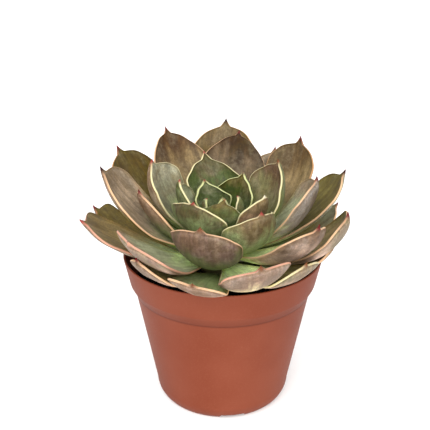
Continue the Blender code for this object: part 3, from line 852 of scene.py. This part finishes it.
def leaf_fields(nodes, seed):
    """What a leaf's colours depend on: places on the leaf, and noises that differ from leaf to leaf."""
    along = nodes.attribute("along")
    across = nodes.attribute("across")
    point = nodes.object_point()

    def stretched(noise, across_pull, along_pull, shift):
        x = nodes.product(across, across_pull)
        y = nodes.product(along, along_pull)
        return nodes.noise(nodes.vector(x, y, seed * shift), *noise)

    cloud = stretched(CLOUD_NOISE, *CLOUD_STRETCH)
    return Fields(
        along=along,
        drift=nodes.math("ADD", along, nodes.product(nodes.math("SUBTRACT", cloud, 0.5), DRIFT)),
        inward=nodes.attribute("inward"),
        under=nodes.attribute("under"),
        streak=stretched(STREAK_NOISE, *STREAK_STRETCH),
        patch=stretched(PATCH_NOISE, *PATCH_STRETCH),
        cloud=cloud,
        mottle=nodes.noise(point, *MOTTLE_NOISE),
        grain=nodes.noise(point, *GRAIN_NOISE),
        fleck=nodes.noise(point, *FLECK_NOISE),
    )


def three_stops(nodes, place, root, middle, end):
    """Colour along the leaf from its root through its middle to its end."""
    share = nodes.ramp(place, *MIDDLE_PLACE)
    color = nodes.mix(share, surface(root, DEEP_SHARE), surface(middle, MIDDLE_SHARE))
    return nodes.mix(nodes.ramp(place, *END_PLACE), color, surface(end, END_SHARE))


def leaf_flesh(nodes, fields, look):
    """The colours of both sides, with blotches, painted shade towards the end away from the margin, flecks,
    powdery bloom, and the light and dark of streaks, mottling and grain."""
    along, drift, mottle = fields.along, fields.drift, fields.mottle
    upper = three_stops(nodes, drift, look.upper_root, look.upper_middle, look.upper_end)
    lower = three_stops(nodes, drift, look.under_root, look.under_middle, look.under_end)
    color = nodes.mix(nodes.ramp(fields.under, *UNDERSIDE), upper, lower)
    blotch = nodes.product(nodes.ramp(fields.patch, *BLOTCHES), nodes.ramp(along, *BLOTCH_PLACE))
    color = nodes.mix(nodes.product(blotch, BLOTCH_SHARE), color, surface(look.blotch, END_SHARE))
    # Painted shade towards the leaf's end, in patches and away from the margin
    end_shade = nodes.product(nodes.ramp(drift, *END_PLACE), nodes.ramp(fields.inward, *END_SHADE_INWARD))
    end_shade = nodes.product(end_shade, nodes.ramp(fields.patch, *END_SHADE_PATCHES))
    color = nodes.mix(end_shade, color, END_SHADE_TINT, "MULTIPLY")
    fleck = nodes.product(nodes.ramp(fields.fleck, *FLECKS), nodes.ramp(along, *FLECK_PLACE))
    color = nodes.mix(fleck, color, surface(FLECK_COLOR, END_SHARE))
    bloom = nodes.product(nodes.ramp(fields.cloud, *BLOOM), nodes.ramp(mottle, *BLOOM_MOTTLE))
    color = nodes.mix(bloom, color, surface(BLOOM_COLOR, END_SHARE))
    shade = nodes.product(nodes.ramp(fields.streak, *STREAK_SHADE), nodes.ramp(mottle, *MOTTLE_SHADE))
    shade = nodes.product(shade, nodes.ramp(fields.grain, *GRAIN_SHADE))
    return nodes.mix(1.0, color, nodes.vector(shade, shade, shade), "MULTIPLY")


def leaf_margin(nodes, fields, look, color):
    """The flesh's colour with a dark hem, partly the leaf's own darker rim and partly painted shade, the
    pale margin outside it, the tip and its spike.
    """
    along, inward = fields.along, fields.inward
    # A dark hem inside the margin, partly the leaf's own darker rim and partly painted shade
    hem_and_shade = nodes.product(nodes.ramp(inward, *HEM_AND_SHADE_INWARD), nodes.ramp(inward, *HEM_AND_SHADE_END_INWARD))
    color = nodes.mix(hem_and_shade, color, HEM_AND_SHADE_TINT, "MULTIPLY")
    tip = surface(look.tip, END_SHARE)
    margin = nodes.mix(nodes.ramp(along, *MARGIN_TO_TIP_PLACE), surface(look.margin, MARGIN_SHARE), tip)
    band = nodes.product(nodes.ramp(inward, *MARGIN_INWARD), nodes.ramp(along, *MARGIN_PLACE))
    color = nodes.mix(band, color, margin)
    color = nodes.mix(nodes.ramp(along, *TIP_PLACE), color, tip)
    spike = IVORY if look.tip == IVORY else BLACK_RED
    return nodes.mix(nodes.ramp(along, *SPIKE_PLACE), color, surface(spike, END_SHARE))


def leaf_material(name, look, seed):
    """Fleshy leaf with a faint grain over its mottling, which light passes into a little way."""
    nodes = Nodes(name)
    fields = leaf_fields(nodes, seed)
    color = leaf_margin(nodes, fields, look, leaf_flesh(nodes, fields, look))
    bumps = nodes.bump(fields.grain, *GRAIN_BUMPS, nodes.bump(fields.mottle, *MOTTLE_BUMPS))
    nodes.shader.inputs["Subsurface Weight"].default_value = FLESH_GLOW
    nodes.shader.inputs["Subsurface Radius"].default_value = FLESH_REACH
    nodes.shader.inputs["Subsurface Scale"].default_value = FLESH_SCALE * MM
    return nodes.coat(color, nodes.ramp(fields.mottle, *LEAF_ROUGHNESS), bumps, LEAF_SHINE)


def make_leaves():
    """The buds and the leaves, each with its own turns of colour."""
    for index, row in enumerate(HEART_LEAVES):
        name = f"bud_{index + 1}"
        look = Look(*HEART_LOOKS[index])
        make_leaf(name, Leaf(*row), leaf_thickness(index), FIRST_BUD_SEED + index, look, "heart")
    for index, row in enumerate(LEAVES):
        node = f"leaf_{index + 1:02d}"
        thickness = leaf_thickness(len(HEART_LEAVES) + index)
        make_leaf(f"fine_{node}", Leaf(*row), thickness, index + 1, Look(*LEAF_LOOKS[index]), node)


def turned_mesh(profile, sides):
    """Points and faces of a profile turned about Z. It starts and ends on the axis and goes up outside."""
    turn = turns(sides)
    rings = []
    for radius, height in profile[1:-1]:
        rings.append(np.stack([radius * np.cos(turn), radius * np.sin(turn), height + 0 * turn], axis=1))
    ends = [(0, 0, profile[0][1]), (0, 0, profile[-1][1])]
    return np.concatenate([*rings, ends]), tube_faces(len(rings), sides, flipped=True)


def round_corner(before, corner, after):
    """Points of a small curve in place of a profile's corner."""
    corner = np.array(corner, dtype=float)
    lines = (np.array(end, dtype=float) - corner for end in (before, after))
    towards, away = (line / np.linalg.norm(line) for line in lines)
    shares = np.linspace(0, 1, CREASE_STEPS + 1)
    return [tuple(corner + CREASE_ROUND * ((1 - t) ** 2 * towards + t**2 * away)) for t in shares]


def rounded_profile(profile):
    """The profile with all its points rounded but the first and the last."""
    points = [profile[0]]
    for before, corner, after in zip(profile, profile[1:], profile[2:]):
        points += round_corner(before, corner, after)
    return points + [profile[-1]]


def heel_profile():
    """The heel as part of a quarter turn, drawn down to the base."""
    profile = []
    for step in range(HEEL_STEPS + 1):
        angle = math.pi / 2 * (HEEL_START + (1 - HEEL_START) * step / HEEL_STEPS)
        radius = HEEL_RADIUS - HEEL_FILLET * (1 - math.sin(angle))
        profile.append((radius, HEEL_FILLET * (1 - math.cos(angle))))
    base = profile[0][1]
    return [(radius, (height - base) * HEEL_FILLET / (HEEL_FILLET - base)) for radius, height in profile]


def pot_profile():
    """From the middle of the base out over the foot, up the outside, over the lip, down the inside."""
    foot = [
        (0, 0),
        (PAD_RADIUS, 0),
        (PAD_RADIUS + FOOT_DRAFT, FOOT_RISE),
        (FOOT_INNER_RADIUS - FOOT_DRAFT, FOOT_RISE),
        (FOOT_INNER_RADIUS, 0),
    ]
    heel = heel_profile()
    wall = [
        heel[-1],
        (BODY_TOP_RADIUS, BODY_TOP_HEIGHT),
        (COLLAR_RADIUS, COLLAR_HEIGHT),
        (RIM_RADIUS, RIM_HEIGHT),
        (RIM_RADIUS - WALL, RIM_HEIGHT),
        (COLLAR_RADIUS - WALL, COLLAR_HEIGHT + INNER_RISE),
        (BODY_TOP_RADIUS - WALL, BODY_TOP_HEIGHT + INNER_RISE),
        (HEEL_RADIUS - WALL, HEEL_FILLET + FLOOR_BEVEL_RISE),
        (HEEL_RADIUS - WALL - FLOOR_BEVEL_RUN, FLOOR_TOP),
    ]
    return foot + heel[:-1] + rounded_profile(wall) + [(0, FLOOR_TOP)]


def channel_cutter(azimuth):
    """A radial bar under the base, a little narrower at the top, that notches the foot ring."""
    section = [
        (-CHANNEL_WIDTH / 2, -CUT_PAST),
        (CHANNEL_WIDTH / 2, -CUT_PAST),
        (CHANNEL_ROOF_WIDTH / 2, CHANNEL_HEIGHT),
        (-CHANNEL_ROOF_WIDTH / 2, CHANNEL_HEIGHT),
    ]
    corners = []
    for along in (FOOT_INNER_RADIUS - CHANNEL_PAST_INSIDE, HEEL_RADIUS + CHANNEL_PAST_OUTSIDE):
        for across, height in section:
            x = along * math.cos(azimuth) - across * math.sin(azimuth)
            y = along * math.sin(azimuth) + across * math.cos(azimuth)
            corners.append((x, y, height))
    faces = [(0, 3, 2, 1), (4, 5, 6, 7), (0, 1, 5, 4), (1, 2, 6, 5), (2, 3, 7, 6), (3, 0, 4, 7)]
    return new_object("channel", np.array(corners) * MM, faces)


def drain_cutter(azimuth):
    """An upright round pin through the floor."""
    low = FOOT_RISE - CUT_PAST
    high = FLOOR_TOP + CUT_PAST
    profile = [(0, low), (DRAIN_RADIUS, low), (DRAIN_RADIUS, high), (0, high)]
    points, faces = turned_mesh(profile, DRAIN_SIDES)
    shift = np.array([math.cos(azimuth), math.sin(azimuth), 0]) * DRAIN_AT
    return new_object("drain", (points + shift) * MM, faces)


def make_pot():
    """The turned shell with its channels and drain holes."""
    points, faces = turned_mesh(pot_profile(), POT_SIDES)
    pot = new_piece("fine_pot", points, faces, pot_material(), ("pot",))
    for index in range(CHANNELS):
        azimuth = math.radians(CHANNEL_AZIMUTH + 360 / CHANNELS * index)
        for tool in (channel_cutter(azimuth), drain_cutter(azimuth)):
            modifier = pot.modifiers.new("cut", "BOOLEAN")
            modifier.operation = "DIFFERENCE"
            modifier.solver = "EXACT"
            modifier.object = tool
            bpy.context.view_layer.objects.active = pot
            bpy.ops.object.modifier_apply(modifier=modifier.name)
            bpy.data.objects.remove(tool)
    pot.data.shade_smooth()
    pot.data.set_sharp_from_angle(angle=math.radians(SHARP_ANGLE))


def pot_material():
    """Dull terracotta-coloured plastic with fine mottling and faint upright scuffs, with painted shade on
    the chamfer under the collar, which faces down, and in the crease below it."""
    nodes = Nodes("pot_plastic")
    point = nodes.object_point()
    level = nodes.level(point)
    fine = nodes.noise(point, *POT_FINE_NOISE)
    broad = nodes.noise(point, *POT_BROAD_NOISE)
    stretch = nodes.add("ShaderNodeMapping")
    nodes.link(point, stretch.inputs["Vector"])
    stretch.inputs["Scale"].default_value = SCUFF_STRETCH
    scuff = nodes.noise(stretch.outputs["Vector"], *SCUFF_NOISE)
    # Painted shade on the downward-facing chamfer and in the crease below it
    chamfer_shade = nodes.product(nodes.ramp(level, *CHAMFER_SHADE_HEIGHT), nodes.ramp(level, *CHAMFER_SHADE_END_HEIGHT))
    crease_shade = nodes.product(nodes.ramp(level, *CREASE_SHADE_HEIGHT), nodes.ramp(level, *CREASE_SHADE_END_HEIGHT))
    color = surface(POT_DARK, POT_SHARE)
    for share, seen in (
        (nodes.ramp(broad, *POT_BROAD), POT_COLOR),
        (nodes.ramp(fine, *POT_MOTTLE), POT_LIGHT),
        (nodes.ramp(scuff, *SCUFFS), POT_LIGHT),
        (nodes.product(chamfer_shade, CHAMFER_SHADE_SHARE), POT_PAINTED_SHADE),
        (nodes.product(crease_shade, CREASE_SHADE_SHARE), POT_PAINTED_SHADE),
    ):
        color = nodes.mix(share, color, surface(seen, POT_SHARE))
    return nodes.coat(color, nodes.ramp(fine, *POT_ROUGHNESS), nodes.bump(fine, *POT_BUMPS), POT_SHINE)


def soil_height(x, y):
    """Lumps of the soil's surface at a few sizes."""
    height = 0
    for size, *pair in SOIL_WAVES:
        first, second = (np.sin(x_pull * x + y_pull * y + shift) for x_pull, y_pull, shift in pair)
        height = height + size * first * second
    return height * SOIL_RELIEF


def make_soil():
    """A lumpy plug of potting soil, and crumbs lying on it."""
    rings = np.append(np.arange(SOIL_FIRST_RING, SOIL_EDGE, SOIL_STEP), SOIL_EDGE)[:, None]
    x = rings * np.cos(turns(SOIL_SIDES))
    y = rings * np.sin(turns(SOIL_SIDES))
    level = SOIL_TOP - SOIL_DIP
    bottom = SOIL_TOP - SOIL_DEPTH
    top = np.stack([x, y, level + soil_height(x, y)], axis=-1).reshape(-1, 3)
    foot = top[-SOIL_SIDES:] * (SOIL_FOOT_EDGE / SOIL_EDGE)
    foot[:, 2] = bottom
    points = np.concatenate([top, foot, [(0, 0, level), (0, 0, bottom)]])
    material = soil_material()
    new_piece("fine_soil", points, tube_faces(len(rings) + 1, SOIL_SIDES), material, ("soil",))
    points, faces = soil_crumbs()
    new_piece("soil_crumbs", points, faces, material, ("soil",))


def soil_crumbs():
    """Small uneven lumps strewn over the soil, each made from an icosahedron."""
    rng = np.random.default_rng(CRUMB_SEED)
    golden = (1 + 5**0.5) / 2
    corners = [(0, a, b * golden) for a in (-1, 1) for b in (-1, 1)]
    corners = np.array([np.roll(corner, shift) for shift in range(3) for corner in corners])
    corners = corners / np.linalg.norm(corners[0])
    lump_faces = icosahedron_faces(corners)
    points = []
    faces = []
    for index in range(CRUMBS):
        radius = CRUMB_EDGE * math.sqrt(rng.uniform(*CRUMB_SPREAD))
        angle = rng.uniform(0, 2 * math.pi)
        x = radius * math.cos(angle)
        y = radius * math.sin(angle)
        size = rng.uniform(*CRUMB_SIZE)
        lump = corners * rng.uniform(*CRUMB_UNEVEN, (len(corners), 1)) * size
        lump = lump * rng.uniform(*CRUMB_STRETCH, 3)
        points.append(lump + (x, y, SOIL_TOP - CRUMB_DIP + soil_height(x, y)))
        faces += [[corner + index * len(corners) for corner in face] for face in lump_faces]
    return np.concatenate(points), faces


def icosahedron_faces(corners):
    """Triangles of the icosahedron with these corners, facing outwards."""
    side = min(np.linalg.norm(corners[0] - corner) for corner in corners[1:])
    faces = []
    for a, b, c in combinations(range(len(corners)), 3):
        trio = corners[[a, b, c]]
        if np.allclose(np.linalg.norm(trio - np.roll(trio, 1, axis=0), axis=1), side):
            facing = np.dot(np.cross(trio[1] - trio[0], trio[2] - trio[0]), trio[0])
            faces.append((a, b, c) if facing > 0 else (a, c, b))
    return faces


def soil_material():
    """Near-black peat with a few lighter fibres."""
    nodes = Nodes("potting_soil")
    point = nodes.object_point()
    grain = nodes.noise(point, *SOIL_GRAIN_NOISE)
    flecks = nodes.ramp(nodes.noise(point, *SOIL_FLECK_NOISE), *SOIL_FLECKS)
    color = nodes.mix(flecks, surface(SOIL_COLOR), surface(SOIL_LIGHT))
    return nodes.coat(color, nodes.ramp(grain, *SOIL_ROUGHNESS), nodes.bump(grain, *SOIL_BUMPS), SOIL_SHINE)


def make_crown():
    """The short stem that the leaves grow from, with the scars of shed leaves."""
    heights = np.linspace(CROWN_PROFILE[0][0], CROWN_PROFILE[-1][0], CROWN_RINGS)[:, None]
    turn = turns(CROWN_SIDES)
    scars = np.sin(heights * SCAR_PULL + SCAR_TURNS[0] * turn) * np.sin(SCAR_TURNS[1] * turn - heights)
    radii = np.maximum(crown_radius(heights) - CROWN_INSET + SCAR_DEPTH * scars, CROWN_LEAST_RADIUS)
    z = np.broadcast_to(heights + RIM_HEIGHT, radii.shape)
    rings = np.stack([radii * np.cos(turn), radii * np.sin(turn), z], axis=-1)
    ends = [(0, 0, z[0, 0]), (0, 0, z[-1, 0] + CROWN_DOME)]
    points = np.concatenate([rings.reshape(-1, 3), ends])
    faces = tube_faces(CROWN_RINGS, CROWN_SIDES, flipped=True)
    new_piece("fine_crown", points, faces, stem_material(), ("heart",))


def stem_material():
    """Stem between the leaves: pale green above, corky brown towards the soil."""
    nodes = Nodes("stem")
    point = nodes.object_point()
    grain = nodes.noise(point, *STEM_NOISE)
    color = nodes.mix(nodes.ramp(nodes.level(point), *CORK_HEIGHT), surface(STEM_COLOR), surface(STEM_DARK))
    color = nodes.mix(nodes.ramp(grain, *CORK_PATCHES), color, surface(STEM_DARK))
    return nodes.coat(color, nodes.ramp(grain, *STEM_ROUGHNESS), nodes.bump(grain, *STEM_BUMPS), STEM_SHINE)


def make_floor():
    """A large plain pale floor."""
    corners = np.array([(-1, -1, 0), (1, -1, 0), (1, 1, 0), (-1, 1, 0)]) * FLOOR_HALF
    floor = new_object("floor", corners * MM, [(0, 1, 2, 3)])
    nodes = Nodes("floor_paint")
    nodes.shader.inputs["Base Color"].default_value = linear(FLOOR_COLOR)
    nodes.shader.inputs["Roughness"].default_value = FLOOR_ROUGHNESS
    nodes.shader.inputs["Specular IOR Level"].default_value = FLOOR_SHINE
    floor.data.materials.append(nodes.material)


def make_lights():
    """Soft studio light: the lamps in a bright white surround."""
    for name, direction, strength, spread in LAMPS:
        light = bpy.data.lights.new(name, "SUN")
        light.energy = strength
        light.angle = math.radians(spread)
        placed(name, light).rotation_euler = Vector(direction).to_track_quat("-Z", "Y").to_euler()
    world = bpy.data.worlds.new("studio")
    world.use_nodes = True
    background = world.node_tree.nodes["Background"]
    background.inputs["Color"].default_value = (1, 1, 1, 1)
    background.inputs["Strength"].default_value = SURROUND_STRENGTH
    bpy.context.scene.world = world
    bpy.context.scene.view_settings.view_transform = "Standard"


def make_camera():
    """The photograph's view, level across the picture and turned by where the rim's middle falls in it."""
    elevation = math.radians(CAMERA_ELEVATION)
    half = IMAGE_SIZE / 2
    pitch = elevation - math.atan2(RIM_PIXEL[1] - half, FOCAL_PIXELS)
    yaw = math.atan2(RIM_PIXEL[0] - half, FOCAL_PIXELS)
    data = bpy.data.cameras.new("camera")
    data.sensor_width = SENSOR_WIDTH
    data.lens = FOCAL_PIXELS / IMAGE_SIZE * SENSOR_WIDTH
    data.clip_start = CLIP_START * MM
    camera = placed("camera", data)
    back = CAMERA_DISTANCE * math.cos(elevation)
    rise = RIM_HEIGHT + CAMERA_DISTANCE * math.sin(elevation)
    camera.location = (0, -back * MM, rise * MM)
    camera.rotation_euler = (math.pi / 2 - pitch, 0, yaw)
    bpy.context.scene.camera = camera


make_camera()
make_lights()
make_floor()
make_pot()
make_soil()
make_crown()
make_leaves()
